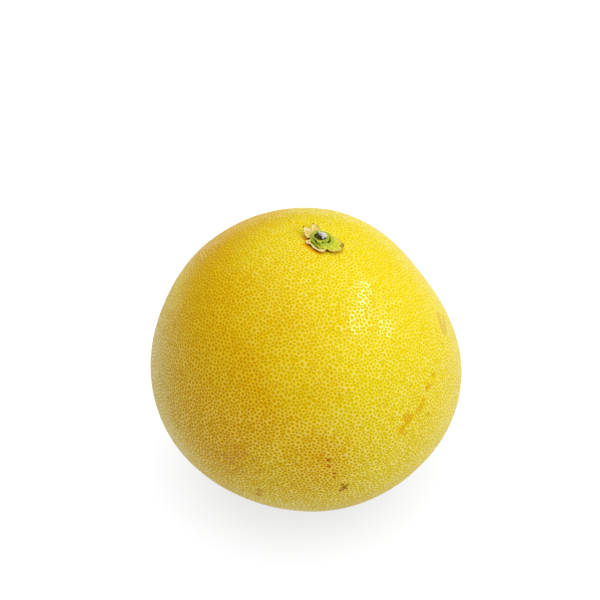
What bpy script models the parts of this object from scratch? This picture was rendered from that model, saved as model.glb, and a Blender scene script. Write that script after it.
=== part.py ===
# A ripe pomelo: one heavy fruit with its calyx, a short broken stem and the torn pith in it.
# Metres, +Z up. It lies on a small flat spot, and the origin is the point of that spot
# under the middle of the fruit. +X is the side that the stem leans to.
import math
import random

import bmesh
import bpy
from mathutils import Matrix, Vector, noise

MM = 0.001

# Driving dimensions of the fruit
WIDTH = 145 * MM
HALF_HEIGHT = 69 * MM           # from the middle to either pole
TAPER = 0.04                    # share by which it narrows to the stem and widens below
LEAN = math.radians(5.2)        # how far the stem leans over to +X
SOLE_DEPTH = 1.3 * MM           # how far the fruit is pressed flat where it lies

# Swellings and flats: azimuth and elevation on the fruit, height, and how wide they spread
SWELLINGS = {
    "flat shoulder": (25, 33, -4.0 * MM, 26),
    "right belly": (-15, -13, 1.4 * MM, 26),
    "front belly": (-60, -47, 1.2 * MM, 26),
    "left belly": (-155, -32, 1.0 * MM, 24),
    "left flat": (168, 10, -0.9 * MM, 18),
    "back belly": (95, -20, 0.8 * MM, 34),
    "stem dimple": (0, 90, -1.5 * MM, 11),
}

# Oil glands: a net of low ridges round shallow pits, larger than on the real rind
GLANDS = 1800
GLAND_SEED = 7
GLAND_JITTER = 0.35             # how far a gland strays, as a share of the spacing
EVENING_ROUNDS = 4              # rounds in which each gland moves towards its neighbours' middle
EVENING_SHARE = 0.6
PIT_DEPTH = 0.4 * MM
SMOOTH_STEM = (9 * MM, 16 * MM)     # pits start past the first radius, full at the second
SMOOTH_SOLE = (13 * MM, 21 * MM)

GAP = 0.3 * MM                  # clearance between neighbouring pieces

# Calyx: a fleshy disc with a collar round the stem, and sepals that lift at their tips.
# Angles go round the stem from +X, counter-clockwise seen from above. A sepal starts at its
# notch, rises to its tip and falls to the next notch; fullness 1 gives straight sides.
# (notch angle, radius, lift, tip angle, radius, lift, fullness before and after the tip)
SEPALS = {
    "worn stub": (22, 5.7 * MM, 0.1 * MM, 55, 6.0 * MM, 0.1 * MM, 1.5, 1.5),
    "back": (88, 5.7 * MM, 0.2 * MM, 113, 9.8 * MM, 2.6 * MM, 1.6, 1.3),
    "left back": (130, 7.2 * MM, 1.5 * MM, 149, 9.4 * MM, 3.6 * MM, 1.2, 1.3),
    "left": (178, 6.0 * MM, 0.5 * MM, 196, 7.6 * MM, 1.0 * MM, 1.6, 1.6),
    "front": (216, 6.7 * MM, 0.8 * MM, 268, 9.9 * MM, 0.7 * MM, 1.4, 2.0),
    "right": (289, 8.4 * MM, 0.2 * MM, 335, 12.0 * MM, 0.8 * MM, 2.2, 1.0),
}
DISC_THICKNESS = 0.7 * MM       # under the stem
COLLAR_HEIGHT = 1.6 * MM        # from the underside of the disc
COLLAR_WIDTH = 0.8 * MM
COLLAR_ROUNDING = 0.3 * MM
FLESHY_WIDTH = 2.2 * MM         # over this width the collar thins out to a sepal
SEPAL_THICKNESS = 0.65 * MM
CALYX_SPOKES = 90
SEPAL_RINGS = 5                 # from the collar to the edge of the sepals
SEPAL_CURL = 1.5                # above 1, a sepal lifts mostly near its tip

# Stem: a broken stub with an open hollow
STEM_RADIUS = 4.0 * MM
STEM_FLARE = 0.25 * MM
STEM_HEIGHT = 1.3 * MM
HOLLOW_RADIUS = 3.0 * MM
HOLLOW_DEPTH = 0.85 * MM
RIM_ROUNDING = 0.25 * MM
RIM_WAVE = 0.14 * MM            # the broken rim is uneven by this much
STEM_STEPS = 36

# Pith: torn crumbs that stand in the hollow and out of it
# (x, y and height of the middle over the floor of the hollow, radius)
CRUMBS = (
    (1.25 * MM, 0.50 * MM, 1.60 * MM, 1.15 * MM),
    (0.35 * MM, 1.30 * MM, 1.45 * MM, 0.95 * MM),
    (-0.60 * MM, 1.70 * MM, 2.10 * MM, 0.70 * MM),
    (0.30 * MM, 0.70 * MM, 1.00 * MM, 0.66 * MM),
    (1.60 * MM, -0.20 * MM, 1.10 * MM, 0.60 * MM),
)
CRUMB_ROUGHNESS = 0.12 * MM
CRUMB_GRAIN = 0.6 * MM
MERGED = 0.02 * MM              # corners closer than this become one
SETTLING_STEPS = 8              # corrections that find the skin over a given point


def direction_at(azimuth, elevation):
    azimuth, elevation = math.radians(azimuth), math.radians(elevation)
    flat = math.cos(elevation)
    return Vector((flat * math.cos(azimuth), flat * math.sin(azimuth), math.sin(elevation)))


def smooth_step(value, low, high):
    share = min(max((value - low) / (high - low), 0.0), 1.0)
    return share * share * (3 - 2 * share)


def fruit_point(direction):
    # The smooth skin of the upright fruit, seen from its middle in one direction
    half_width = WIDTH / 2 * (1 - TAPER * direction.z)
    point = Vector((direction.x * half_width, direction.y * half_width, direction.z * HALF_HEIGHT))
    for azimuth, elevation, height, spread in SWELLINGS.values():
        angle = direction.angle(direction_at(azimuth, elevation))
        point += direction * height * math.exp(-(angle / math.radians(spread)) ** 2)
    return point


def skin_height(x, y):
    # Height of the skin of the upright fruit over the point (x, y), near the stem
    direction = Vector((x, y, HALF_HEIGHT)).normalized()
    for _ in range(SETTLING_STEPS):
        point = fruit_point(direction)
        direction.x += (x - point.x) / HALF_HEIGHT
        direction.y += (y - point.y) / HALF_HEIGHT
        direction.normalize()
    return fruit_point(direction).z


def leaning(point):
    return Matrix.Rotation(LEAN, 3, "Y") @ point


def gland_directions():
    # Even spiral over the ball, each gland moved a little at random
    rng = random.Random(GLAND_SEED)
    spacing = math.sqrt(4 * math.pi / GLANDS)
    turn = math.pi * (3 - math.sqrt(5))
    for number in range(GLANDS):
        z = 1 - (2 * number + 1) / GLANDS
        flat = math.sqrt(1 - z * z)
        spot = Vector((flat * math.cos(turn * number), flat * math.sin(turn * number), z))
        stray = Vector((rng.gauss(0, 1), rng.gauss(0, 1), rng.gauss(0, 1)))
        yield (spot + stray * spacing * GLAND_JITTER).normalized()


def material(name, colour, roughness):
    made = bpy.data.materials.new(name)
    made.use_nodes = True
    made.diffuse_color = (*colour, 1)
    shader = made.node_tree.nodes["Principled BSDF"]
    shader.inputs["Base Color"].default_value = (*colour, 1)
    shader.inputs["Roughness"].default_value = roughness
    shader.inputs["Metallic"].default_value = 0.0
    return made


def add_object(name, bm, finish):
    bmesh.ops.triangulate(bm, faces=bm.faces)
    bmesh.ops.recalc_face_normals(bm, faces=bm.faces)
    mesh = bpy.data.meshes.new(name)
    bm.to_mesh(mesh)
    bm.free()
    mesh.shade_smooth()
    mesh.materials.append(finish)
    made = bpy.data.objects.new(name, mesh)
    bpy.context.scene.collection.objects.link(made)
    return made


def turned(profile, steps):
    # A closed body from a profile of (radius, height) that starts and ends on the axis
    bm = bmesh.new()
    corners = [bm.verts.new((radius, 0, height)) for radius, height in profile]
    edges = [bm.edges.new(pair) for pair in zip(corners, corners[1:])]
    bmesh.ops.spin(bm, geom=corners + edges, cent=(0, 0, 0), axis=(0, 0, 1),
                   angle=2 * math.pi, steps=steps, use_merge=True)
    on_axis = [vert for vert in bm.verts if math.hypot(vert.co.x, vert.co.y) < MERGED]
    bmesh.ops.remove_doubles(bm, verts=on_axis, dist=MERGED)
    return bm


def build_fruit(lift):
    bm = bmesh.new()
    for direction in gland_directions():
        bm.verts.new(direction)
    for _ in range(EVENING_ROUNDS):
        bmesh.ops.convex_hull(bm, input=bm.verts)
        bmesh.ops.smooth_vert(bm, verts=bm.verts, factor=EVENING_SHARE,
                              use_axis_x=True, use_axis_y=True, use_axis_z=True)
        bmesh.ops.delete(bm, geom=bm.edges[:] + bm.faces[:], context="EDGES_FACES")
        for vert in bm.verts:
            vert.co.normalize()
    bmesh.ops.convex_hull(bm, input=bm.verts)

    # Every corner of the hull is a gland. A point in each face, joined across the old edges,
    # turns the hull into one cell round each gland, with a crisp ridge between cells.
    glands = set(bm.verts)
    old_edges = list(bm.edges)
    bmesh.ops.poke(bm, faces=bm.faces)
    ridges = bmesh.ops.rotate_edges(bm, edges=old_edges, use_ccw=False)["edges"]
    for edge in ridges:
        edge.smooth = False

    for vert in bm.verts:
        direction = vert.co.normalized()
        point = fruit_point(direction)
        if vert in glands:
            depth = PIT_DEPTH
            if direction.z > 0:
                depth *= smooth_step(math.hypot(point.x, point.y), *SMOOTH_STEM)
            resting = leaning(point)
            if resting.z < 0:
                depth *= smooth_step(math.hypot(resting.x, resting.y), *SMOOTH_SOLE)
            point -= direction * depth
        vert.co = leaning(point) + Vector((0, 0, lift))

    # Pressed flat where it lies
    cut = bmesh.ops.bisect_plane(bm, geom=bm.verts[:] + bm.edges[:] + bm.faces[:], dist=0.05 * MM,
                                 plane_co=(0, 0, 0), plane_no=(0, 0, -1), clear_outer=True)
    rim = [item for item in cut["geom_cut"] if isinstance(item, bmesh.types.BMEdge)]
    for item in cut["geom_cut"]:
        if isinstance(item, bmesh.types.BMVert):
            item.co.z = 0
    bmesh.ops.edgeloop_fill(bm, edges=rim)
    return bm


def sepal_edge(angle):
    # Radius and lift of the edge of the calyx at one angle in degrees
    sepals = list(SEPALS.values())
    for sepal, following in zip(sepals, sepals[1:] + sepals[:1]):
        notch, notch_radius, notch_lift, tip, radius, lift, fullness, fullness_after = sepal
        end, end_radius, end_lift = following[:3]
        past = (angle - notch) % 360
        rise, whole = tip - notch, (end - notch) % 360
        if past > whole:
            continue
        if past < rise:
            grown = 1 - (1 - past / rise) ** fullness
            return (notch_radius + (radius - notch_radius) * grown,
                    notch_lift + (lift - notch_lift) * grown)
        grown = 1 - (1 - (whole - past) / (whole - rise)) ** fullness_after
        return end_radius + (radius - end_radius) * grown, end_lift + (lift - end_lift) * grown


def calyx_ring(number, angle, top):
    # Radius and height over the skin of one ring of the calyx, counted from its middle
    socket = STEM_RADIUS + STEM_FLARE + GAP
    collar = socket + COLLAR_WIDTH
    seat = (
        (0, DISC_THICKNESS),
        (0.5 * socket, DISC_THICKNESS),
        (socket, DISC_THICKNESS),
        (socket + COLLAR_ROUNDING, COLLAR_HEIGHT * 0.95),
        (collar, COLLAR_HEIGHT),
    )
    if number < len(seat):
        radius, height = seat[number]
        return radius, height if top else 0
    edge, lift = sepal_edge(angle)
    out = (number - len(seat) + 1) / SEPAL_RINGS
    radius = collar + (edge - collar) * out
    height = lift * out ** SEPAL_CURL
    if top:
        thinned = max(smooth_step(radius, collar, collar + FLESHY_WIDTH), out ** 2)
        height += COLLAR_HEIGHT + (SEPAL_THICKNESS - COLLAR_HEIGHT) * thinned
    return radius, height


def build_calyx(place):
    # Turned as a plain disc whose rings are one unit apart, then each ring goes to its place
    rings = 4 + SEPAL_RINGS
    profile = [(number, 1) for number in range(rings + 1)]
    profile += [(number, 0) for number in range(rings, -1, -1)]
    bm = turned(profile, CALYX_SPOKES)
    for vert in bm.verts:
        number = round(math.hypot(vert.co.x, vert.co.y))
        angle = math.atan2(vert.co.y, vert.co.x)
        radius, height = calyx_ring(number, math.degrees(angle), vert.co.z > 0.5)
        x, y = radius * math.cos(angle), radius * math.sin(angle)
        vert.co = (x, y, skin_height(x, y) + GAP + height)
    bmesh.ops.transform(bm, matrix=place, verts=bm.verts)
    return bm


def build_stem(place, base):
    # Turned from its profile, then the broken rim is made uneven
    profile = (
        (0, STEM_HEIGHT - HOLLOW_DEPTH),
        (HOLLOW_RADIUS * 0.6, STEM_HEIGHT - HOLLOW_DEPTH),
        (HOLLOW_RADIUS * 0.9, STEM_HEIGHT - HOLLOW_DEPTH * 0.8),
        (HOLLOW_RADIUS, STEM_HEIGHT - RIM_ROUNDING / 2),
        (HOLLOW_RADIUS + RIM_ROUNDING, STEM_HEIGHT),
        (STEM_RADIUS - RIM_ROUNDING, STEM_HEIGHT),
        (STEM_RADIUS, STEM_HEIGHT - RIM_ROUNDING),
        (STEM_RADIUS + STEM_FLARE, 0),
        (0, 0),
    )
    bm = turned(profile, STEM_STEPS)
    for vert in bm.verts:
        angle = math.atan2(vert.co.y, vert.co.x)
        share = smooth_step(vert.co.z, STEM_HEIGHT - HOLLOW_DEPTH * 0.8, STEM_HEIGHT)
        vert.co.z += share * RIM_WAVE * (math.sin(2 * angle + 0.6) + 0.5 * math.sin(5 * angle))
    bmesh.ops.translate(bm, verts=bm.verts, vec=(0, 0, base))
    bmesh.ops.transform(bm, matrix=place, verts=bm.verts)
    return bm


def build_pith(place, floor):
    # Crumbs as rough balls, joined into one torn lump
    crumbs = bpy.data.collections.new("crumbs")
    for x, y, height, radius in CRUMBS:
        bm = bmesh.new()
        bmesh.ops.create_icosphere(bm, subdivisions=2, radius=radius)
        for vert in bm.verts:
            roughness = CRUMB_ROUGHNESS * noise.noise(vert.co / CRUMB_GRAIN)
            vert.co += vert.co.normalized() * roughness
        bmesh.ops.translate(bm, verts=bm.verts, vec=(x, y, floor + height))
        bmesh.ops.transform(bm, matrix=place, verts=bm.verts)
        mesh = bpy.data.meshes.new("crumb")
        bm.to_mesh(mesh)
        bm.free()
        crumbs.objects.link(bpy.data.objects.new("crumb", mesh))
    first, *others = crumbs.objects
    crumbs.objects.unlink(first)
    bpy.context.scene.collection.objects.link(first)
    union = first.modifiers.new("union", "BOOLEAN")
    union.operation = "UNION"
    union.operand_type = "COLLECTION"
    union.collection = crumbs
    bpy.context.scene.collection.children.link(crumbs)
    shape = first.evaluated_get(bpy.context.evaluated_depsgraph_get())
    bm = bmesh.new()
    bm.from_mesh(shape.to_mesh())
    bmesh.ops.remove_doubles(bm, verts=bm.verts, dist=MERGED)
    for crumb in (first, *others):
        bpy.data.objects.remove(crumb)
    bpy.data.collections.remove(crumbs)
    return bm


for old in list(bpy.data.objects):
    bpy.data.objects.remove(old)

# The lowest point of the leaning fruit goes below the surface by the depth of the flat spot
lowest = min(leaning(fruit_point(direction_at(azimuth, elevation))).z
             for azimuth in range(0, 360, 5) for elevation in range(-90, -60))
lift = -lowest - SOLE_DEPTH
place = Matrix.Translation((0, 0, lift)) @ Matrix.Rotation(LEAN, 4, "Y")
stem_base = skin_height(0, 0) + GAP + DISC_THICKNESS + GAP

yellow = material("rind", (0.76, 0.55, 0.03), 0.38)
leafy = material("sepals", (0.50, 0.50, 0.16), 0.6)
green = material("stub", (0.22, 0.36, 0.03), 0.5)
white = material("torn_pith", (0.72, 0.70, 0.66), 0.9)

add_object("fruit", build_fruit(lift), yellow)
add_object("calyx", build_calyx(place), leafy)
add_object("stem", build_stem(place, stem_base), green)
add_object("pith", build_pith(place, stem_base + STEM_HEIGHT - HOLLOW_DEPTH), white)
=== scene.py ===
import math
import random

import bmesh
import bpy
import numpy as np
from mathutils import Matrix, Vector, noise


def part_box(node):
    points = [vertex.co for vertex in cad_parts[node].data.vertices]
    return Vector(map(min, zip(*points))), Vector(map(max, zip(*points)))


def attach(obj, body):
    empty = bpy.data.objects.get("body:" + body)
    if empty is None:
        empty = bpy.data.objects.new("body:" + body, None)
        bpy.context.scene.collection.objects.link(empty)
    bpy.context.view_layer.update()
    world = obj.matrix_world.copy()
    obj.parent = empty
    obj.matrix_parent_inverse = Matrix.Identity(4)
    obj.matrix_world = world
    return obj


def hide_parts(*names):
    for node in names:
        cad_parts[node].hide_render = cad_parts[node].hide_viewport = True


# A ripe pomelo with its calyx, broken stem and torn pith. Metres, +Z up, as in the frame.
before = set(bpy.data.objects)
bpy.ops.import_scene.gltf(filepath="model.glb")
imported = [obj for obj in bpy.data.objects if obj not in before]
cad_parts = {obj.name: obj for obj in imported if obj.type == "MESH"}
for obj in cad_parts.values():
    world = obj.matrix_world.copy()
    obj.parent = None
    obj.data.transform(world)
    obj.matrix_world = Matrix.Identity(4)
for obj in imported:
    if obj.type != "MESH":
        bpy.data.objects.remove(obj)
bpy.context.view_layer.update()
mm = 0.001


# The smooth skin of the fruit, from the same driving numbers as the frame
fruitShape = {
    "width": 145 * mm,
    "halfHeight": 69 * mm,          # from the middle to either pole
    "taper": 0.04,                  # narrower to the stem, wider below
    "lean": math.radians(5.2),      # the stem leans over to +X
    "soleDepth": 1.3 * mm,          # pressed flat by this much where it lies
    "swellings": {                  # azimuth, elevation, height, spread in degrees
        "flat shoulder": (25, 33, -4.0 * mm, 26),
        "right belly": (-15, -13, 1.4 * mm, 26),
        "front belly": (-60, -47, 1.2 * mm, 26),
        "left belly": (-155, -32, 1.0 * mm, 24),
        "left flat": (168, 10, -0.9 * mm, 18),
        "back belly": (95, -20, 0.8 * mm, 34),
        "stem dimple": (0, 90, -1.5 * mm, 11),
    },
}


def directionAt(azimuth, elevation):
    azimuth, elevation = math.radians(azimuth), math.radians(elevation)
    flat = math.cos(elevation)
    return np.array((flat * math.cos(azimuth), flat * math.sin(azimuth), math.sin(elevation)))


def smoothStep(values, low, high):
    share = np.clip((values - low) / (high - low), 0, 1)
    return share * share * (3 - 2 * share)


def unit(rows):
    return rows / np.linalg.norm(rows, axis=1)[:, None]


def skinPoints(directions):     # the upright fruit, one point for each direction from its middle
    halfWidth = fruitShape["width"] / 2 * (1 - fruitShape["taper"] * directions[:, 2])
    reach = np.column_stack((halfWidth, halfWidth, np.full(len(directions), fruitShape["halfHeight"])))
    swell = np.zeros(len(directions))
    for azimuth, elevation, height, spread in fruitShape["swellings"].values():
        cosine = np.clip(directions @ directionAt(azimuth, elevation), -1, 1)
        swell += height * np.exp(-(np.degrees(np.arccos(cosine)) / spread) ** 2)
    return directions * reach + directions * swell[:, None]


def skinHeight(x, y):           # of the upright fruit over points near the stem
    directions = unit(np.column_stack((x, y, np.full(len(x), fruitShape["halfHeight"]))))
    for _ in range(8):
        points = skinPoints(directions)
        directions[:, 0] += (x - points[:, 0]) / fruitShape["halfHeight"]
        directions[:, 1] += (y - points[:, 1]) / fruitShape["halfHeight"]
        directions = unit(directions)
    return skinPoints(directions)[:, 2]


def leaning(points):            # rows of points, turned about +Y
    sine, cosine = math.sin(fruitShape["lean"]), math.cos(fruitShape["lean"])
    turn = np.array(((cosine, 0, sine), (0, 1, 0), (-sine, 0, cosine)))
    return points @ turn.T


aroundBottom = np.array([directionAt(turn, tilt) for turn in range(0, 360, 5) for tilt in range(-90, -60)])
fruitLift = -leaning(skinPoints(aroundBottom))[:, 2].min() - fruitShape["soleDepth"]


def inFrame(points):            # from the upright fruit to where it lies
    return leaning(points) + np.array((0, 0, fruitLift))


def coordinates(bm):
    return np.array([vert.co for vert in bm.verts])


def setCoordinates(bm, points):
    for vert, point in zip(bm.verts, points):
        vert.co = point


def addPiece(name, bm, material, node):
    bmesh.ops.recalc_face_normals(bm, faces=bm.faces)
    mesh = bpy.data.meshes.new(name)
    bm.to_mesh(mesh)
    bm.free()
    mesh.shade_smooth()
    mesh.materials.append(material)
    piece = bpy.data.objects.new(name, mesh)
    bpy.context.scene.collection.objects.link(piece)
    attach(piece, "root")
    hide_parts(node)
    return piece


class Signal:                   # a shader socket that takes part in sums
    def __init__(self, finish, socket):
        self.finish, self.socket = finish, socket

    def combined(self, operation, other, flipped=False):
        pair = (other, self) if flipped else (self, other)
        return self.finish.node("ShaderNodeMath", {"operation": operation}, dict(enumerate(pair)))

    def __add__(self, other):
        return self.combined("ADD", other)

    def __sub__(self, other):
        return self.combined("SUBTRACT", other)

    def __rsub__(self, other):
        return self.combined("SUBTRACT", other, flipped=True)

    def __mul__(self, other):
        return self.combined("MULTIPLY", other)

    def __truediv__(self, other):
        return self.combined("DIVIDE", other)

    __radd__, __rmul__ = __add__, __mul__


class Finish:                   # a material and the few node helpers that all pieces share
    def __init__(self, name, fixed):
        self.material = bpy.data.materials.new(name)
        self.material.use_nodes = True
        self.tree = self.material.node_tree
        self.shader = self.tree.nodes["Principled BSDF"]
        for socket, value in fixed.items():
            self.shader.inputs[socket].default_value = value

    def node(self, kind, settings=None, inputs=None, output=0):
        made = self.tree.nodes.new(kind)
        for name, value in (settings or {}).items():
            if name == "stops":
                for place, colour in value[2:]:
                    made.color_ramp.elements.new(place)
                for element, (place, colour) in zip(made.color_ramp.elements, value):
                    element.position, element.color = place, colour
            else:
                setattr(made, name, value)
        for name, value in (inputs or {}).items():
            if isinstance(value, Signal):
                self.tree.links.new(value.socket, made.inputs[name])
            else:
                made.inputs[name].default_value = value
        return Signal(self, made.outputs[output])

    def place(self):
        return self.node("ShaderNodeTexCoord", output="Object")

    def attribute(self, name):
        return self.node("ShaderNodeAttribute", {"attribute_name": name}, output="Fac")

    def ranged(self, signal, low, high, start=0.0, end=1.0):
        inputs = {"Value": signal, "From Min": low, "From Max": high, "To Min": start, "To Max": end}
        return self.node("ShaderNodeMapRange", {"interpolation_type": "SMOOTHSTEP"}, inputs)

    def cloud(self, place, size, detail=2.0, roughness=0.5, offset=(0, 0, 0)):
        moved = self.node("ShaderNodeVectorMath", {"operation": "ADD"}, {0: place, 1: offset})
        inputs = {"Vector": moved, "Scale": 1 / size, "Detail": detail, "Roughness": roughness}
        return self.node("ShaderNodeTexNoise", None, inputs)

    def blend(self, share, first, second):
        inputs = {0: share, 6: first, 7: second}
        return self.node("ShaderNodeMix", {"data_type": "RGBA"}, inputs, output=2)

    def multiplied(self, colour, factor):
        inputs = {0: 1.0, 6: colour, 7: factor}
        return self.node("ShaderNodeMix", {"data_type": "RGBA", "blend_type": "MULTIPLY"}, inputs, output=2)

    def far(self, place, centre):
        inputs = {0: place, 1: centre}
        return self.node("ShaderNodeVectorMath", {"operation": "DISTANCE"}, inputs, output="Value")

    def feed(self, socket, signal):
        self.tree.links.new(signal.socket, self.shader.inputs[socket])

    def bumpy(self, height, depth):
        bump = self.node("ShaderNodeBump", None, {"Height": height, "Strength": 1.0, "Distance": depth})
        self.feed("Normal", bump)


# Calyx: the same star of sepals as in the frame, with ribs, ragged margins and curled tips
calyx = {
    "sepals": {     # notch angle, radius, lift, tip angle, radius, lift, fullness before and after the tip,
                    # in degrees and millimetres; then the share of it that is still green, and how dry it is
        "worn stub": (22, 5.7, 0.1, 55, 6.0, 0.1, 1.5, 1.5, 0.35, 0.7),
        "back": (88, 5.7, 0.2, 113, 9.8, 2.0, 1.6, 1.0, 0.12, 0.7),
        "left back": (130, 6.8, 1.3, 151, 9.6, 3.6, 0.9, 0.9, 0.06, 0.7),
        "left": (190, 5.8, 0.4, 207, 7.9, 0.45, 1.1, 0.9, 0.10, 0.3),
        "front": (224, 6.6, 0.3, 268, 9.4, 0.30, 0.75, 2.0, 0.42, 0.25),
        "right": (290, 8.3, 0.1, 335, 12.0, 0.45, 2.0, 1.0, 0.70, 0.35),
    },
    "spokes": 480,
    "topRings": 44,
    "gap": 0.3 * mm,                # over the skin, as in the frame
    "discThickness": 0.7 * mm,
    "socket": 4.55 * mm,            # the hole that the stem sits in
    "collar": 5.35 * mm,
    "collarHeight": 1.6 * mm,
    "fleshyWidth": 2.2 * mm,
    "sepalHeight": 0.62 * mm,
    "sepalThickness": 0.30 * mm,
    "ribs": 68,
    "ribHeight": 0.07 * mm,
    "curl": 0.35 * mm,
    "raggedness": 0.035,
    "grooves": (        # start and end angle, radius at either in millimetres, and width
        (238, 271, 4.3, 5.8, 0.22),
        (208, 238, 5.2, 5.75, 0.42),
        (238, 266, 5.75, 6.95, 0.40),
        (268, 284, 6.6, 6.9, 0.16),
    ),
    "grooveDepth": 0.50 * mm,
    "nodes": ((289.5, 8.25, 0.68), (191, 5.8, 0.6)),       # dark corks in the notches: angle, radius, size
    "curls": ((339.5, 10.5, 1.00),),  # rolled tips with a brown rim: angle, radius, size
    "papery": (0.81, 0.64, 0.20, 1),
    "paperyDark": (0.68, 0.48, 0.13, 1),
    "cream": (0.92, 0.80, 0.36, 1),
    "waxy": (0.80, 0.62, 0.08, 1),
    "leafy": (0.74, 0.76, 0.012, 1),
    "leafyDark": (0.30, 0.38, 0.006, 1),
    "brown": (0.44, 0.22, 0.008, 1),
    "maroon": (0.075, 0.012, 0.004, 1),
    "grooveShade": (0.050, 0.062, 0.003, 1),
}


def sepalEdge(angle):           # radius, lift, share of the way from tip to notch, green share, dryness
    sepals = list(calyx["sepals"].values())
    for sepal, following in zip(sepals, sepals[1:] + sepals[:1]):
        notch, notchRadius, notchLift, tip, radius, lift, fuller, fullerAfter, green, dry = sepal
        end, endRadius, endLift = following[:3]
        past, rise, whole = (angle - notch) % 360, tip - notch, (end - notch) % 360
        if past > whole:
            continue
        if past < rise:
            fromTip, grown = 1 - past / rise, 1 - (1 - past / rise) ** fuller
            baseRadius, baseLift = notchRadius, notchLift
        else:
            fromTip = (past - rise) / (whole - rise)
            grown = 1 - fromTip ** fullerAfter
            baseRadius, baseLift = endRadius, endLift
        return (mm * (baseRadius + (radius - baseRadius) * grown),
                mm * (baseLift + (lift - baseLift) * grown), fromTip, green, dry)


# Rind: one cell for each oil gland, a shallow pit in a paler raised net
rind = {
    "seed": 11,
    "glands": 22000,
    "jitter": 0.32,                 # of the spacing
    "eveningRounds": 3,
    "pitDepth": 0.13 * mm,
    "pitVariation": 0.4,
    "lumps": ((5, 0.14 * mm), (13, 0.03 * mm)),     # waves over the ball's radius, height
    "netSinks": 0.32,               # how far the net sinks in places, so that pits run together
    "netOpen": 0.17,                # the share of its corners that sink
    "smoothStem": (5 * mm, 8 * mm),
    "smoothSole": (12 * mm, 17 * mm),
    "ripeAndShadeSides": (      # azimuth, elevation, spread in degrees; how much more amber, or more lemon below 0; partly the rind's own blush, partly painted shade: the broad amber patch lies on the shaded left, the broad lemon one on the lit right top
        (-155, 30, 38, 0.70),
        (-115, 12, 26, 0.65),
        (-126, 18, 17, 0.68),
        (-80, 2, 19, 0.14),
        (-15, 56, 30, 0.34),
        (160, 55, 20, 0.60),
        (-122, 12, 9, 0.32),
        (-84, 3, 11, 0.24),
        (-82, 30, 8, 0.22),
        (178, 62, 18, -0.36),
        (-176, 24, 16, -0.44),
        (-134, 38, 10, -0.22),
        (-109, 28, 12, -0.30),
        (-106, 0, 10, -0.16),
        (-60, 46, 14, -0.10),
        (-47, -10, 15, -0.34),
        (0, 40, 60, -0.64),
    ),
    # rims seen edge-on, left and below: painted reflection of the white surroundings, a paler net with fainter dots
    "paleSheenSides": ((-80, -62, 26), (-168, 4, 19), (-150, -22, 17)),
    # a smoother band down the lit right side, with fainter dots and a paler net: partly painted sheen
    "smoothAndSheenSides": ((12, 32, 15), (-6, 17, 14), (-22, 2, 13), (-32, -14, 13)),
    "scrapes": (
        (-33.4, 21.1, 1.5), (-37.6, 18.8, 1.4), (-39.4, 18.2, 1.4), (-42.0, 15.0, 1.2), (-43.6, 13.1, 1.4),
        (-45.5, 11.7, 1.5), (-49.2, 11.2, 1.6), (-51.8, 12.3, 1.4), (-50.7, 10.0, 1.6), (-52.7, 8.0, 1.3),
        (-53.7, 6.9, 1.4), (-52.2, 4.8, 1.3),
    ),
    "scars": (
        (-8.2, 33.8, 1.5), (-10.2, 32.9, 1.5), (-12.2, 31.7, 1.6), (-13.3, 30.0, 1.7), (-13.9, 28.2, 1.8),
        (-5.4, 30.3, 1.5), (-7.3, 28.9, 1.5), (-9.3, 28.0, 1.6), (-11.5, 27.6, 1.7),
    ),
    "stain": (      # round the stem: angle, spread, and how far it reaches past the calyx in millimetres; orange staining, partly painted shade close under the calyx's margin
        (218, 17, 1.6),
        (238, 13, 1.2),
        (262, 16, 0.4),
        (172, 16, 0.3),
    ),
    "flush": (-117, -9, 11),
    "amberDot": (0.665, 0.293, 0.0005, 1),
    "lemonDot": (0.765, 0.570, 0.0005, 1),
    "dotLitAbove": (1.04, 1.06, 1.0, 1),   # what the colour of a dot is multiplied by, up high and down low: painted light above, painted shade below
    "dotShadedBelow": (0.86, 0.80, 0.8, 1),
    "redder": (1.01, 0.975, 1.0, 1),
    "yellower": (0.99, 1.02, 1.0, 1),
    "amberNet": (0.850, 0.562, 0.0005, 1),
    "lemonNet": (0.885, 0.715, 0.0010, 1),
    # paler crests of the net, partly painted sheen
    "crestSheen": (0.93, 0.825, 0.305, 1),
    "paleSheenNet": (0.85, 0.705, 0.170, 1),
    "worn": (0.74, 0.370, 0.002, 1),
    "stainedAndShaded": (0.93, 0.450, 0.0020, 1),
    "flushed": (0.62, 0.255, 0.022, 1),
    "scarred": (0.70, 0.450, 0.040, 1),
    "spots": {                      # azimuth, elevation, radius, colour
        "star": (-74.3, -16.0, 1.55 * mm, (0.30, 0.105, 0.0005, 1)),
        "star left": (-75.4, -13.9, 1.05 * mm, (0.40, 0.19, 0.001, 1)),
        "star tail": (-75.2, -17.9, 1.10 * mm, (0.34, 0.13, 0.001, 1)),
        "star right": (-73.3, -14.6, 0.95 * mm, (0.44, 0.23, 0.001, 1)),
        "star foot": (-73.1, -17.2, 0.80 * mm, (0.38, 0.18, 0.001, 1)),
        "upper speck": (-82.0, 0.0, 1.00 * mm, (0.42, 0.14, 0.0005, 1)),
        "middle speck": (-81.7, -2.9, 1.05 * mm, (0.50, 0.15, 0.0005, 1)),
        "lower speck": (-79.2, -7.0, 1.05 * mm, (0.52, 0.20, 0.0005, 1)),
        "lower tail": (-79.1, -9.0, 0.95 * mm, (0.58, 0.25, 0.0005, 1)),
        "scrape end": (-40.3, 7.9, 0.95 * mm, (0.74, 0.33, 0.0005, 1)),
        "small dot": (-19.7, 26.4, 0.65 * mm, (0.72, 0.36, 0.01, 1)),
        "pink bruise": (-105.8, -22.6, 1.7 * mm, (0.65, 0.34, 0.03, 1)),
        "bruise middle": (-106.4, -25.0, 1.4 * mm, (0.67, 0.37, 0.04, 1)),
        "bruise foot": (-106.6, -27.4, 1.8 * mm, (0.64, 0.34, 0.03, 1)),
    },
}


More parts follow.
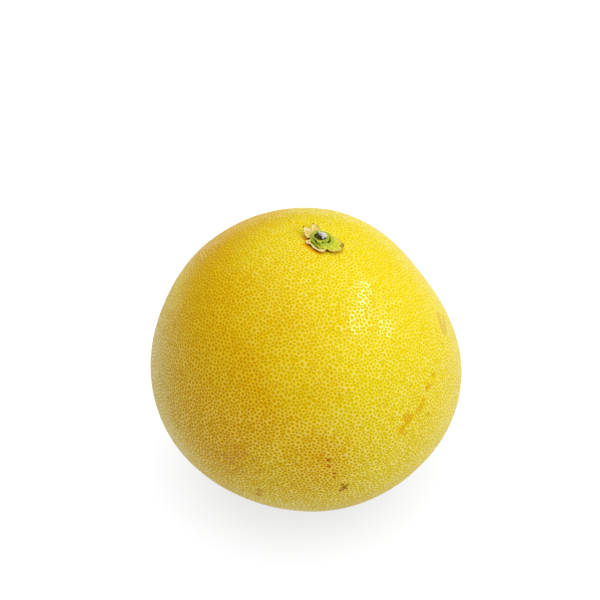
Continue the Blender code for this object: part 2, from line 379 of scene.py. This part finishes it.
def evenGlands():               # a ball of loose points, evened out until they lie like real glands
    rng = random.Random(rind["seed"])
    count = rind["glands"]
    spacing = math.sqrt(4 * math.pi / count)
    turn = math.pi * (3 - math.sqrt(5))
    bm = bmesh.new()
    for number in range(count):
        z = 1 - (2 * number + 1) / count
        flat = math.sqrt(1 - z * z)
        stray = Vector([rng.gauss(0, spacing * rind["jitter"]) for _ in range(3)])
        spot = Vector((flat * math.cos(turn * number), flat * math.sin(turn * number), z)) + stray
        bm.verts.new(spot.normalized())
    for _ in range(rind["eveningRounds"]):
        bmesh.ops.convex_hull(bm, input=bm.verts)
        bmesh.ops.smooth_vert(bm, verts=bm.verts, factor=0.6,
                              use_axis_x=True, use_axis_y=True, use_axis_z=True)
        bmesh.ops.delete(bm, geom=bm.edges[:] + bm.faces[:], context="EDGES_FACES")
        for vert in bm.verts:
            vert.co.normalize()
    return bm


def netted(bm):                 # one fan of faces round each gland, ridges between the fans
    bmesh.ops.convex_hull(bm, input=bm.verts)
    oldEdges = list(bm.edges)
    bmesh.ops.poke(bm, faces=bm.faces)
    bmesh.ops.rotate_edges(bm, edges=oldEdges, use_ccw=False)
    bm.verts.index_update()
    bm.verts.ensure_lookup_table()


def spansOf(bm, glands):        # how far each corner of the net is from its glands, 1 on average
    spans = [sum(edge.calc_length() for edge in vert.link_edges if edge.other_vert(vert).index < glands)
             / sum(edge.other_vert(vert).index < glands for edge in vert.link_edges) for vert in bm.verts[glands:]]
    return np.concatenate((np.ones(glands), np.array(spans) / np.mean(spans)))


def near(directions, place):    # 1 in the middle of a patch, falling to 0 around it
    azimuth, elevation, spread = place
    cosine = np.clip(directions @ directionAt(azimuth, elevation), -1, 1)
    return np.exp(-(np.degrees(np.arccos(cosine)) / spread) ** 2)


def grainOf(points, waves, seed=0.0):
    return np.array([noise.noise(Vector(row) * waves + Vector((seed, 0, 0))) for row in points])


def squareMap(directions, side):    # the ball unfolded onto a square; side holds the signs of each face's middle
    reach = np.abs(directions).sum(2, keepdims=True)
    flat = directions[..., :2] / reach
    folded = (1 - (directions[..., :2] * side[..., :2] / reach)[..., ::-1]) * side[..., :2]
    return 0.5 + 0.485 * np.where(side[..., 2:] >= 0, flat, folded)


def settledIn(points, node, spare=0.0):     # drawn in and moved, where needed, into the box of the frame's solid
    low, high = (np.array(corner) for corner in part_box(node))
    low, high = low - spare, high + spare
    middle = (points.min(0) + points.max(0)) / 2
    points = middle + (points - middle) * np.minimum(1, (high - low) / np.ptp(points, axis=0))
    return points + np.maximum(low - points.min(0), 0) + np.minimum(high - points.max(0), 0)


def store(mesh, name, values, domain="POINT"):
    mesh.attributes.new(name, "FLOAT", domain).data.foreach_set("value", values.astype(np.float32))


def stainAndShadeOf(skin):              # 1 beside the calyx, fading a little way out from its edge
    reach = np.hypot(skin[:, 0], skin[:, 1])
    stain = np.zeros(len(skin))
    for row in np.nonzero(reach < 13 * mm)[0]:
        turn = math.degrees(math.atan2(skin[row, 1], skin[row, 0])) % 360
        past = (reach[row] - sepalEdge(turn)[0]) / mm
        for angle, spread, width in rind["stain"]:
            share = math.exp(-((turn - angle) / spread) ** 2)
            stain[row] += share * (1 - smoothStep(past, width * 0.5, width * 1.3 + 0.1))
    return np.minimum(stain, 1)


def buildRind(material):
    bm = evenGlands()
    glands = len(bm.verts)
    netted(bm)
    directions = unit(coordinates(bm))
    spans = spansOf(bm, glands)
    isGland = np.arange(len(directions)) < glands
    rng = np.random.default_rng(rind["seed"])
    scraped = np.minimum(sum(near(directions, place) for place in rind["scrapes"]), 1)
    scarred = np.minimum(sum(near(directions, place) for place in rind["scars"]), 1)
    low = 1 - smoothStep(directions[:, 2], -0.45, 0.75)     # the pits are deeper below, and painted shade darkens their colour there
    grain = rng.random(len(directions)) + 0.25 * grainOf(directions, 30) - 0.4 * scraped
    net = 1 - rind["netSinks"] * (1 - smoothStep(grain, rind["netOpen"] - 0.2, rind["netOpen"] + 0.2))
    height = np.where(isGland, 0, net)

    skin = skinPoints(directions)
    for waves, depth in rind["lumps"]:
        skin += directions * (depth * grainOf(directions, waves, waves))[:, None]
    lying = leaning(skin)
    shallow = np.where(directions[:, 2] > 0, smoothStep(np.hypot(skin[:, 0], skin[:, 1]), *rind["smoothStem"]), 1)
    shallow *= np.where(lying[:, 2] < 0, smoothStep(np.hypot(lying[:, 0], lying[:, 1]), *rind["smoothSole"]), 1)
    shallow *= 0.85 + 0.35 * low
    depth = rind["pitDepth"] * (1 + rind["pitVariation"] * (rng.random(len(directions)) - 0.5))
    points = inFrame(skin - directions * ((1 - height) * depth * shallow)[:, None])
    points[:, 2] = np.maximum(points[:, 2], 0)
    setCoordinates(bm, settledIn(points, "fruit"))

    piece = addPiece("rind", bm, material, "fruit")
    mesh = piece.data
    store(mesh, "net", height * np.clip(spans, 0.5, 1.5) ** 0.35)
    store(mesh, "ripe", sum(share * near(directions, place) for *place, share in rind["ripeAndShadeSides"]))
    store(mesh, "pale", np.minimum(sum(near(directions, place) for place in rind["paleSheenSides"]), 1))
    store(mesh, "smooth", np.minimum(sum(near(directions, place) for place in rind["smoothAndSheenSides"]), 1))
    store(mesh, "low", low)
    store(mesh, "worn", scraped)
    store(mesh, "scarred", scarred)
    store(mesh, "flush", near(directions, rind["flush"]))
    store(mesh, "stain", stainAndShadeOf(skin) * (directions[:, 2] > 0))
    corners = np.zeros(len(mesh.loops), np.int32)
    mesh.loops.foreach_get("vertex_index", corners)
    corners = corners.reshape(-1, 3)
    store(mesh, "cell", rng.random(glands)[corners.min(1)], "FACE")     # a face's gland is its first corner
    looks = directions[corners]
    side = np.where(looks.mean(1, keepdims=True) >= 0, 1.0, -1.0)
    flatMap = mesh.uv_layers.new(name="OFBake")
    flatMap.data.foreach_set("uv", squareMap(looks, side).reshape(-1).astype(np.float32))
    print("rind:", glands, "glands,", len(mesh.polygons), "faces")


def onFruit(azimuth, elevation):
    return tuple(inFrame(skinPoints(np.array([directionAt(azimuth, elevation)])))[0])


def rindFinish():
    finish = Finish("rind", {
        "IOR": 1.45, "Specular IOR Level": 0.03, "Coat IOR": 1.5, "Coat Roughness": 0.16,
    })
    place = finish.place()
    net = finish.attribute("net")
    cell = finish.attribute("cell")
    low = finish.attribute("low")
    pale = finish.attribute("pale")
    smooth = finish.attribute("smooth")
    fine = finish.cloud(place, 0.7 * mm, 2)
    blotch = finish.cloud(place, 7 * mm, 3, 0.6, (0.3, 0.1, 0.7))
    broad = finish.cloud(place, 34 * mm, 0)

    # darker amber against lighter lemon: partly the rind's own colour, partly painted shade on the shaded left
    ripe = finish.attribute("ripe") + (broad - 0.5) * 0.57 + (blotch - 0.5) * 0.05 + 0.35
    amber = finish.ranged(ripe, 0.0, 1.0)
    dot = finish.blend(amber, rind["lemonDot"], rind["amberDot"])
    dot = finish.multiplied(dot, finish.blend(cell, rind["redder"], rind["yellower"]))
    # painted shade and light: dots darker down low, lighter up high
    dot = finish.multiplied(dot, finish.blend(low, rind["dotLitAbove"], rind["dotShadedBelow"]))
    ground = finish.blend(amber, rind["lemonNet"], rind["amberNet"])
    # painted reflection at the rims (pale) and painted sheen on the lit right side (smooth): a paler net, fainter dots
    ground = finish.blend(pale * 0.8 + smooth * 0.35, ground, rind["paleSheenNet"])

    patchy = finish.cloud(place, 2.4 * mm, 3, 0.7, (0.9, 0.4, 0.1))
    fleck = finish.cloud(place, 0.95 * mm, 2, 0.6, (0.2, 0.9, 0.5))
    relief = net + (cell - 0.5) * 0.08 + (fine - 0.5) * 0.65
    raised = finish.ranged(relief, 0.22, 0.90)
    raised = raised + (1 - raised) * (pale * 0.42 + smooth * 0.45)
    # pale crests of the net: partly their own paler colour, partly painted sheen and glints, more of it low down and
    # less on amber
    crestSheen = finish.ranged(relief, 0.62, 0.98) * finish.ranged(fleck * 0.65 + patchy * 0.35 + pale * 0.08, 0.36, 0.62)
    colour = finish.blend(raised, dot, ground)
    colour = finish.blend(crestSheen * (low * 0.30 + 0.63 - amber * 0.54) * (1 - smooth * 0.45), colour, rind["crestSheen"])

    streak = finish.cloud(place, 1.6 * mm, 2, 0.5, (0.6, 0.3, 0.2))
    worn = finish.ranged(finish.attribute("worn") + (streak - 0.5) * 0.9 + (fine - 0.5) * 0.8, 0.40, 0.85)
    colour = finish.blend(worn * (0.90 - 0.55 * raised), colour, rind["worn"])
    scarred = finish.ranged(finish.attribute("scarred") + (streak - 0.5) * 0.6, 0.35, 1.0)
    colour = finish.blend(scarred * 0.65, colour, rind["scarred"])
    flush = finish.attribute("flush") * finish.ranged(streak + (blotch - 0.5) * 0.8, 0.42, 0.72)
    colour = finish.blend(flush * (1.0 - 0.6 * raised), colour, rind["flushed"])
    marked = worn
    for azimuth, elevation, radius, tint in rind["spots"].values():
        edge = finish.far(place, onFruit(azimuth, elevation)) / radius + (fine - 0.5) * 1.5
        spot = 1 - finish.ranged(edge, 0.45, 1.25)
        marked = marked + spot
        colour = finish.blend(spot, colour, tint)

    # orange stain beside the calyx, partly painted shade under its margin
    stain = finish.ranged(finish.attribute("stain") + (fine - 0.5) * 0.3, 0.1, 0.6)
    colour = finish.blend(stain * 0.9, colour, rind["stainedAndShaded"])
    finish.feed("Base Color", colour)
    finish.feed("Roughness", 0.46 - raised * 0.12 + blotch * 0.08)
    finish.feed("Coat Weight", (crestSheen * 0.9 + 0.04) * finish.ranged(marked, 0.6, 0.0))
    finish.bumpy(finish.ranged(relief, 0.1, 1.0) + fine * 0.35, 0.17 * mm)
    return finish.material


buildRind(rindFinish())


def turned(profile, steps):     # a closed body from (radius, height) pairs that start and end on the axis
    bm = bmesh.new()
    corners = [bm.verts.new((radius, 0, height)) for radius, height in profile]
    edges = [bm.edges.new(pair) for pair in zip(corners, corners[1:])]
    bmesh.ops.spin(bm, geom=corners + edges, cent=(0, 0, 0), axis=(0, 0, 1),
                   angle=2 * math.pi, steps=steps, use_merge=True)
    onAxis = [vert for vert in bm.verts if math.hypot(vert.co.x, vert.co.y) < 1e-5]
    bmesh.ops.remove_doubles(bm, verts=onAxis, dist=1e-5)
    return bm


def buildCalyx(material):
    # Turned as a plain disc whose rings are one unit apart, then each ring goes to its place
    socket, collar, seatRings = calyx["socket"], calyx["collar"], 4
    last = seatRings + calyx["topRings"]
    profile = [(ring, 1) for ring in range(last + 1)] + [(ring, 0) for ring in range(last, -1, -1)]
    bm = turned(profile, calyx["spokes"])
    flat = coordinates(bm)
    angle = np.arctan2(flat[:, 1], flat[:, 0])
    ring = np.rint(np.hypot(flat[:, 0], flat[:, 1])).astype(int)
    top = flat[:, 2] > 0.5
    around = np.column_stack((np.cos(angle), np.sin(angle)))
    degrees = np.degrees(angle) % 360
    edge, lift, fromTip, green, dry = np.array([sepalEdge(turn) for turn in degrees]).T
    wave = grainOf(np.column_stack((around * 3.0, 0 * angle)), 1.0, 4.0)
    nicks = grainOf(np.column_stack((around * 14.0, 0 * angle)), 1.0, 9.0)
    edge *= 1 + calyx["raggedness"] * (0.6 * wave + nicks)

    # the gap round the stem shows on two sides only; elsewhere the collar leans in and closes it
    parted = smoothStep(degrees, 228, 242) * (1 - smoothStep(degrees, 254, 268))
    parted += smoothStep(degrees, 302, 315) * (1 - smoothStep(degrees, 345, 356))
    lip = socket - 0.02 * mm - 0.42 * mm * (1 - parted)
    seatRadius = np.array((0, 0.9, 1, 1, 1))[np.minimum(ring, seatRings)] * socket
    seatHeight = np.array((0.7, 0.7, 0.8, 1.1, 1.35))[np.minimum(ring, seatRings)] * mm
    inner = ring <= seatRings
    along = np.clip((ring - seatRings) / calyx["topRings"], 0, 1)
    radius = np.where(ring < seatRings, seatRadius, lip + (edge - lip) * along)
    out = np.clip((radius - collar) / (edge - collar), 0, 1)

    # top side: a fleshy slope from the collar down to a thin sepal with ribs and a curled margin
    thinned = np.maximum(smoothStep(radius, collar, collar + calyx["fleshyWidth"]), out ** 2)
    rest = lift * out ** 1.5
    fleshy = calyx["collarHeight"] - 0.22 * mm * (1 - smoothStep(radius - lip, 0, 0.35 * mm))
    fleshy += 0.42 * mm * (1 - parted) * (1 - smoothStep(radius - lip, 0.2 * mm, 1.4 * mm)) + 0.08 * mm * wave
    high = rest + fleshy + (calyx["sepalHeight"] - fleshy) * thinned
    ribWave = np.sin(calyx["ribs"] * angle + 2.5 * wave) * (0.55 + nicks)
    high += calyx["ribHeight"] * ribWave * smoothStep(out, 0.0, 0.3)
    groove = np.zeros(len(angle))
    for start, end, reach, reachAfter, width in calyx["grooves"]:
        share = (degrees - start) / (end - start)
        shown = smoothStep(share, -0.15, 0.15) * (1 - smoothStep(share, 0.8, 1.15))
        off = (radius / mm - reach - (reachAfter - reach) * share) / width
        groove += shown * np.exp(-off ** 2)
    high -= calyx["grooveDepth"] * groove
    margin = smoothStep(out, 0.72, 1.0) ** 2
    high += calyx["curl"] * margin * (0.4 + dry + 1.2 * wave) * (1 - 0.5 * fromTip)
    rolled = np.exp(-((degrees - 335) / 9) ** 2) * smoothStep(out, 0.80, 1.0)
    high += 0.9 * mm * rolled
    radius = radius - 0.5 * mm * rolled ** 2
    high = np.where(ring < seatRings, seatHeight, high)

    # underside: on the rind near the stem, a thin leaf's thickness below the top further out
    leaf = high - calyx["sepalThickness"] * (1 - 0.4 * margin) + calyx["grooveDepth"] * groove * (out > 0.5)
    low = np.where(inner, 0, rest + (leaf - rest) * smoothStep(out, 0.25, 0.8))
    height = np.where(top, high, np.minimum(low, leaf))
    x, y = (around * radius[:, None]).T
    points = np.column_stack((x, y, skinHeight(x, y) + calyx["gap"] + height))
    setCoordinates(bm, settledIn(inFrame(points), "calyx"))

    mesh = addPiece("sepals", bm, material, "calyx").data
    fresh = 1 - smoothStep(out + 0.25 * nicks, green - 0.18, green + 0.18)
    line = smoothStep(out + 0.03 * nicks, 0.93, 1.0) * (0.35 + dry) * top
    notches = smoothStep(fromTip, 0.72, 1.0) * smoothStep(out, 0.55, 0.95)
    tips = smoothStep(1 - fromTip, 0.80, 1.0) * smoothStep(out, 0.72, 1.0) * dry
    store(mesh, "out", out)
    store(mesh, "green", fresh)
    corks = np.zeros(len(angle))
    for turn, reach, size in calyx["nodes"]:
        centre = directionAt(turn, 0)[:2] * reach * mm
        corks += 3.0 * np.exp(-(np.hypot(*(around * radius[:, None] - centre).T) / (size * mm)) ** 2)
    for turn, reach, size in calyx["curls"]:
        centre = directionAt(turn, 0)[:2] * reach * mm
        away = np.hypot(*(around * radius[:, None] - centre).T) / (size * mm)
        corks += 1.0 * np.exp(-((away - 1) / 0.42) ** 2) * top
    bleached = smoothStep(degrees, 100, 120) * (1 - smoothStep(degrees, 270, 292))
    store(mesh, "bleached", bleached)
    store(mesh, "brown", np.clip(line + 0.7 * notches + 1.1 * tips + corks + 0.5 * ~top, 0, 1.5))
    store(mesh, "rib", ribWave)
    # painted shade in the grooves and round the lip of the socket, most where the gap round the stem shows
    store(mesh, "groove", groove + (0.55 + 0.45 * parted) * (1 - smoothStep(radius - lip, -0.05 * mm, 0.12 * mm)))
    print("calyx:", len(mesh.polygons), "faces")


def calyxFinish():
    finish = Finish("sepals", {"IOR": 1.45, "Specular IOR Level": 0.35})
    place = finish.place()
    out, green = finish.attribute("out"), finish.attribute("green")
    fine = finish.cloud(place, 0.35 * mm, 3, 0.6)
    mottle = finish.cloud(place, 1.8 * mm, 2)
    rib = finish.attribute("rib")
    papery = finish.blend(finish.ranged(mottle + rib * 0.35, 0.3, 0.7), calyx["papery"], calyx["paperyDark"])
    margin = finish.blend(finish.attribute("bleached"), calyx["waxy"], calyx["cream"])
    papery = finish.blend(finish.ranged(out, 0.55, 0.85), papery, margin)
    leafy = finish.blend(finish.ranged(out + mottle * 0.6 + rib * 0.8, 0.15, 0.85), calyx["leafyDark"], calyx["leafy"])
    colour = finish.blend(green, papery, leafy)
    dark = finish.blend(finish.ranged(finish.attribute("brown"), 0.7, 1.3), calyx["brown"], calyx["maroon"])
    share = finish.ranged(finish.attribute("brown") + (fine - 0.5) * 0.4, 0.3, 0.9)
    colour = finish.blend(share, colour, dark)
    # painted shade in the grooves and at the gap round the stem
    shade = finish.ranged(finish.attribute("groove") + (fine - 0.5) * 0.3, 0.2, 0.9)
    colour = finish.blend(shade * 0.92, colour, calyx["grooveShade"])
    finish.feed("Base Color", finish.multiplied(colour, finish.blend(fine, (0.8, 0.8, 0.8, 1), (1.12, 1.12, 1.12, 1))))
    finish.feed("Roughness", 0.62 - green * 0.18 + fine * 0.1)
    finish.bumpy(fine + mottle * 0.6, 0.12 * mm)
    return finish.material


buildCalyx(calyxFinish())


# Stem: the broken stub, a soft green ring round a dark hollow
stem = {
    "spokes": 192,
    "radius": 4.0 * mm,
    "flare": 0.25 * mm,
    "height": 1.3 * mm,
    "hollowRadius": 2.80 * mm,
    "hollowFloor": 0.10 * mm,
    "hollowCentre": (-0.15 * mm, 0.42 * mm),
    "rimWave": 0.14 * mm,
    "bump": (-60, 3.50 * mm, 0.9 * mm, 0.38 * mm),     # angle, radius, spread, height
    "pits": ((-78, 3.75 * mm), (-54, 3.70 * mm)),
    "split": (196, 246, 3.35 * mm, 4.15 * mm, 0.20 * mm, 0.45 * mm),   # angles, radii, width, depth
    "ragged": 0.07,
    "flesh": (0.56, 0.64, 0.020, 1),
    "fleshDark": (0.27, 0.37, 0.014, 1),
    "footShade": (0.07, 0.10, 0.006, 1),
    "hollowShade": (0.155, 0.135, 0.008, 1),
    "hollowShadeDark": (0.030, 0.026, 0.002, 1),
    "wrinkle": 0.07 * mm,
}
stemBase = float(skinHeight(np.zeros(1), np.zeros(1))[0]) + 2 * calyx["gap"] + calyx["discThickness"]


def buildStem(material):
    hollow, outer, height, floor = stem["hollowRadius"], stem["radius"], stem["height"], stem["hollowFloor"]
    profile = [(hollow * share, floor + 0.05 * mm * share) for share in (0, 0.3, 0.6, 0.8, 0.92)]
    profile += [(hollow * (0.96 + 0.04 * share), floor + (height - 0.12 * mm - floor) * share)
                for share in (0.1, 0.3, 0.5, 0.7, 0.85, 1.0)]
    for turn in range(1, 10):   # the rounded rim
        lean = math.pi * (1 - turn / 10)
        middle, half = (hollow + outer) / 2, (outer - hollow) / 2
        profile.append((middle + half * math.cos(lean), height - 0.12 * mm + 0.12 * mm * math.sin(lean)))
    profile += [(outer + stem["flare"] * share, (height - 0.12 * mm) * (1 - share)) for share in (0, 0.25, 0.5, 0.75, 1)]
    profile.append((0, 0))
    bm = turned(profile, stem["spokes"])
    points = coordinates(bm)
    radius, angle = np.hypot(points[:, 0], points[:, 1]), np.arctan2(points[:, 1], points[:, 0])
    rise = smoothStep(points[:, 2], height * 0.4, height)
    inside = 1 - smoothStep(radius, hollow * 0.98, hollow * 1.08)
    torn = grainOf(np.column_stack((np.cos(angle), np.sin(angle), 0 * angle)), 2.2, 6.0)
    points[:, :2] *= (1 + stem["ragged"] * torn * (1 - smoothStep(radius, hollow, outer)))[:, None]
    points[:, 0] += inside * stem["hollowCentre"][0]
    points[:, 1] += inside * stem["hollowCentre"][1]
    points[:, 2] += rise * stem["rimWave"] * (np.sin(2 * angle + 0.6) + 0.5 * np.sin(5 * angle))
    turn, reach, spread, swell = stem["bump"]
    knob = np.array((math.cos(math.radians(turn)), math.sin(math.radians(turn)))) * reach
    away = np.hypot(points[:, 0] - knob[0], points[:, 1] - knob[1])
    points[:, 2] += rise * swell * np.exp(-(away / spread) ** 2)
    pitted = np.zeros(len(points))
    for turn, reach in stem["pits"]:
        spot = np.array((math.cos(math.radians(turn)), math.sin(math.radians(turn)))) * reach
        pitted += np.exp(-(np.hypot(points[:, 0] - spot[0], points[:, 1] - spot[1]) / (0.34 * mm)) ** 2)
    points[:, 2] -= rise * 0.25 * mm * pitted
    start, end, reach, reachAfter, width, depth = stem["split"]
    share = (np.degrees(angle) % 360 - start) / (end - start)
    off = (radius - reach - (reachAfter - reach) * share) / width
    split = smoothStep(share, -0.1, 0.15) * (1 - smoothStep(share, 0.9, 1.1)) * np.exp(-off ** 2)
    points[:, 2] -= rise * depth * split
    rough = grainOf(points / mm, 1.6) + 0.5 * grainOf(points / mm, 4.5, 3.0)
    points += (points * (1, 1, 0.3)) / (radius[:, None] + 0.5 * mm) * (stem["wrinkle"] * rough * (points[:, 2] > 1e-5))[:, None]
    # painted shade: darker down into the hollow, the pits and the split
    depth = 1 - smoothStep(points[:, 2], floor, height)
    hollowed = np.where(radius < hollow * 1.02, np.maximum(depth, 0.55), 0)
    # painted shade: darker down the foot of the outer wall, where it sits in the calyx
    foot = np.where(radius > outer * 0.99, depth, 0)
    setCoordinates(bm, settledIn(inFrame(points + np.array((0, 0, stemBase))), "stem"))
    mesh = addPiece("stub", bm, material, "stem").data
    store(mesh, "hollow", hollowed + 0.9 * np.clip(pitted, 0, 1) + split)
    store(mesh, "foot", foot)
    print("stem:", len(mesh.polygons), "faces")


def stemFinish():
    finish = Finish("stub", {"IOR": 1.45, "Specular IOR Level": 0.4})
    place = finish.place()
    fine = finish.cloud(place, 0.4 * mm, 3, 0.6)
    mottle = finish.cloud(place, 1.5 * mm, 2, 0.5, (0.2, 0.5, 0.1))
    mottled = mottle + (finish.cloud(place, 0.7 * mm, 2, 0.5, (0.7, 0.1, 0.4)) - 0.5) * 0.8
    colour = finish.blend(finish.ranged(mottled, 0.3, 0.7), stem["fleshDark"], stem["flesh"])
    # painted shade at the stem's foot
    foot = finish.ranged(finish.attribute("foot") + (fine - 0.5) * 0.4, 0.3, 1.0)
    colour = finish.blend(foot * 0.7, colour, stem["footShade"])
    # painted shade in the hollow, the pits and the split
    hollow = finish.ranged(finish.attribute("hollow") + (fine - 0.5) * 0.3, 0.15, 0.6)
    hollowShade = finish.blend(finish.ranged(fine * 0.5 + mottle * 0.5, 0.42, 0.58), stem["hollowShadeDark"], stem["hollowShade"])
    colour = finish.blend(hollow, colour, hollowShade)
    finish.feed("Base Color", finish.multiplied(colour, finish.blend(fine, (0.75, 0.75, 0.75, 1), (1.2, 1.2, 1.2, 1))))
    finish.feed("Roughness", 0.45 + hollow * 0.35 + fine * 0.1)
    finish.bumpy(fine + mottle, 0.12 * mm)
    return finish.material


buildStem(stemFinish())


# Pith: pale torn crumbs that stand in the hollow and out of it
pith = {
    "seed": 5,
    "crumbs": (     # x, y and height of the middle over the floor of the frame's hollow, radius, in millimetres
        (1.75, 0.25, 1.25, 1.30),
        (1.10, 1.00, 1.75, 1.00),
        (2.45, 0.45, 1.45, 0.80),
        (-0.45, 1.75, 2.05, 0.62),
        (0.25, 1.30, 1.35, 0.75),
        (1.50, -0.75, 0.75, 0.60),
    ),
    "crumblets": 14,                # smaller grains on each crumb
    "voxel": 0.07,                  # all in millimetres
    "grain": 0.55,
    "roughness": 0.11,
    "floor": 0.45,
    "spare": 0.55,                  # how far the fine fibres may stand out of the frame's plain lump
    "pale": (0.73, 0.71, 0.69, 1),
    "shaded": (0.66, 0.64, 0.60, 1),
    "brownish": (0.50, 0.43, 0.30, 1),
}


def fused(bm, voxel):           # overlapping balls made one skin
    mesh = bpy.data.meshes.new("lumps")
    bm.to_mesh(mesh)
    bm.free()
    lumps = bpy.data.objects.new("lumps", mesh)
    bpy.context.scene.collection.objects.link(lumps)
    skin = lumps.modifiers.new("skin", "REMESH")
    skin.mode, skin.voxel_size = "VOXEL", voxel
    shape = lumps.evaluated_get(bpy.context.evaluated_depsgraph_get())
    whole = bmesh.new()
    whole.from_mesh(shape.to_mesh())
    bpy.data.objects.remove(lumps)
    return whole


def buildPith(material):
    rng = random.Random(pith["seed"])
    bm = bmesh.new()
    for x, y, height, radius in pith["crumbs"]:
        middle = Vector((x, y, height))
        made = bmesh.ops.create_icosphere(bm, subdivisions=3, radius=radius * 0.86)
        bmesh.ops.translate(bm, verts=made["verts"], vec=middle)
        for _ in range(pith["crumblets"]):
            outward = Vector([rng.gauss(0, 1) for _ in range(3)]).normalized()
            small = radius * rng.uniform(0.22, 0.42)
            made = bmesh.ops.create_icosphere(bm, subdivisions=2, radius=small)
            bmesh.ops.translate(bm, verts=made["verts"], vec=middle + outward * (radius - small * 0.8))
    bm = fused(bm, pith["voxel"])
    points = coordinates(bm)
    normals = np.array([vert.normal for vert in bm.verts])
    rough = grainOf(points / pith["grain"], 1.0) + 0.5 * grainOf(points / pith["grain"], 2.6, 7.0)
    points += normals * (pith["roughness"] * rough)[:, None]
    points = (points + np.array((0, 0, pith["floor"]))) * mm + np.array((0, 0, stemBase))
    setCoordinates(bm, settledIn(inFrame(points), "pith", pith["spare"] * mm))
    mesh = addPiece("tornPith", bm, material, "pith").data
    store(mesh, "raised", rough)
    print("pith:", len(mesh.polygons), "faces")


def pithFinish():
    finish = Finish("torn_pith", {"IOR": 1.4, "Specular IOR Level": 0.25})
    place = finish.place()
    fine = finish.cloud(place, 0.25 * mm, 3, 0.6)
    stain = finish.cloud(place, 0.9 * mm, 2, 0.5, (0.4, 0.2, 0.6))
    colour = finish.blend(finish.ranged(finish.attribute("raised"), -0.35, 0.35), pith["shaded"], pith["pale"])
    colour = finish.blend(finish.ranged(stain, 0.55, 0.75) * 0.35, colour, pith["brownish"])
    finish.feed("Base Color", finish.multiplied(colour, finish.blend(fine, (0.85, 0.85, 0.85, 1), (1.1, 1.1, 1.1, 1))))
    finish.feed("Roughness", 0.75 + fine * 0.2)
    finish.bumpy(fine, 0.05 * mm)
    return finish.material


buildPith(pithFinish())


# Floor, light and camera
studio = {
    "floorWidth": 8.0,
    "floorWhite": 0.03,             # too dark to mirror the yellow: its own wash of light whitens it
    "floorGlow": 0.745,
    "bounceGlow": 0.73,             # of a white card under the floor that lights the fruit from below
    "panels": {         # direction, distance, size along the floor and across, power, and what it lights
        "top": ((0.0, 0.0, 1.0), 1.5, (1.6, 1.6), 14.0, "body"),
        "front right": ((0.55, -0.60, 0.58), 1.5, (1.0, 1.0), 11.5, "body"),
        "right": ((0.70, 0.12, 0.70), 1.5, (0.9, 0.9), 3.5, "body"),
        "low right": ((0.95, -0.10, 0.15), 1.6, (1.4, 0.6), 3.0, "body"),
        "left": ((-0.84, -0.36, 0.16), 1.6, (1.4, 0.5), 5.5, "body"),
        "back": ((0.0, 0.75, 0.66), 1.6, (1.4, 1.4), 9.8, "body"),
        "wash": ((0.25, 0.0, 1.0), 1.5, (6.0, 6.0), 2050.0, "floor"),
        "strip": ((0.62, 0.0, 0.78), 1.5, (1.15, 0.20), 13.0, "gloss"),
        "lamp": ((0.82, -0.06, 0.56), 1.5, (0.32, 0.32), 4.4, "gloss"),
    },
    "elevation": math.radians(39.5),
    "distance": 1.2,
    "focal": 154.0,                 # millimetres, on a 36 mm wide frame of 600 pixels
    "fruitPixel": (306.2, 355.5),   # where the middle of the fruit's box is in the picture
}


def addSheet(name, white, glow, height):
    bm = bmesh.new()
    bmesh.ops.create_grid(bm, x_segments=1, y_segments=1, size=studio["floorWidth"] / 2)
    bmesh.ops.translate(bm, verts=bm.verts, vec=(0, 0, height))
    mesh = bpy.data.meshes.new(name)
    bm.to_mesh(mesh)
    bm.free()
    sheet = bpy.data.objects.new(name, mesh)
    bpy.context.scene.collection.objects.link(sheet)
    paper = Finish(name, {
        "Base Color": (white, white, white, 1), "Roughness": 0.9, "Specular IOR Level": 0.0,
        "Emission Color": (1, 1, 1, 1), "Emission Strength": glow,
    })
    mesh.materials.append(paper.material)
    return sheet


def buildStudio():
    floor = addSheet("floor", studio["floorWhite"], studio["floorGlow"], -0.05 * mm)
    floor.visible_diffuse = False
    bounce = addSheet("bounce", 0, studio["bounceGlow"], -1 * mm)
    bounce.visible_camera = bounce.visible_glossy = bounce.visible_shadow = False

    world = bpy.data.worlds.new("studio")
    bpy.context.scene.world = world
    world.use_nodes = True
    world.node_tree.nodes["Background"].inputs["Color"].default_value = (1, 1, 1, 1)
    world.cycles_visibility.glossy = world.cycles_visibility.diffuse = False    # a white backdrop only

    centre = Vector((0, 0, fruitLift))
    for name, (direction, distance, size, power, share) in studio["panels"].items():
        panel = bpy.data.lights.new(name, "AREA")
        panel.shape, panel.energy = "RECTANGLE", power
        panel.size, panel.size_y = size
        lamp = bpy.data.objects.new(name, panel)
        lamp.location = centre + Vector(direction).normalized() * distance
        lamp.rotation_euler = (centre - lamp.location).to_track_quat("-Z", "Y").to_euler()
        lamp.visible_glossy, lamp.visible_diffuse = share == "gloss", share != "gloss"
        receivers = bpy.data.collections.new(name)      # the floor has a light of its own
        receivers.objects.link(floor)
        receivers.collection_objects[0].light_linking.link_state = "INCLUDE" if share == "floor" else "EXCLUDE"
        lamp.light_linking.receiver_collection = receivers
        bpy.context.scene.collection.objects.link(lamp)


def buildCamera():
    low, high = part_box("fruit")
    centre = (low + high) / 2
    tilt = studio["elevation"]
    ahead = Vector((0, math.cos(tilt), -math.sin(tilt)))
    above = Vector((0, math.sin(tilt), math.cos(tilt)))
    perPixel = studio["distance"] * 36 / (studio["focal"] * 600)
    across, down = studio["fruitPixel"][0] - 300, studio["fruitPixel"][1] - 300
    aim = centre + Vector((-across * perPixel, 0, 0)) + above * (down * perPixel)
    lens = bpy.data.cameras.new("camera")
    lens.lens, lens.sensor_width = studio["focal"], 36
    camera = bpy.data.objects.new("camera", lens)
    camera.location = centre - ahead * studio["distance"]
    camera.rotation_euler = (aim - camera.location).to_track_quat("-Z", "Y").to_euler()
    bpy.context.scene.collection.objects.link(camera)
    bpy.context.scene.camera = camera


buildStudio()
buildCamera()
bpy.context.scene.view_settings.view_transform = "Standard"
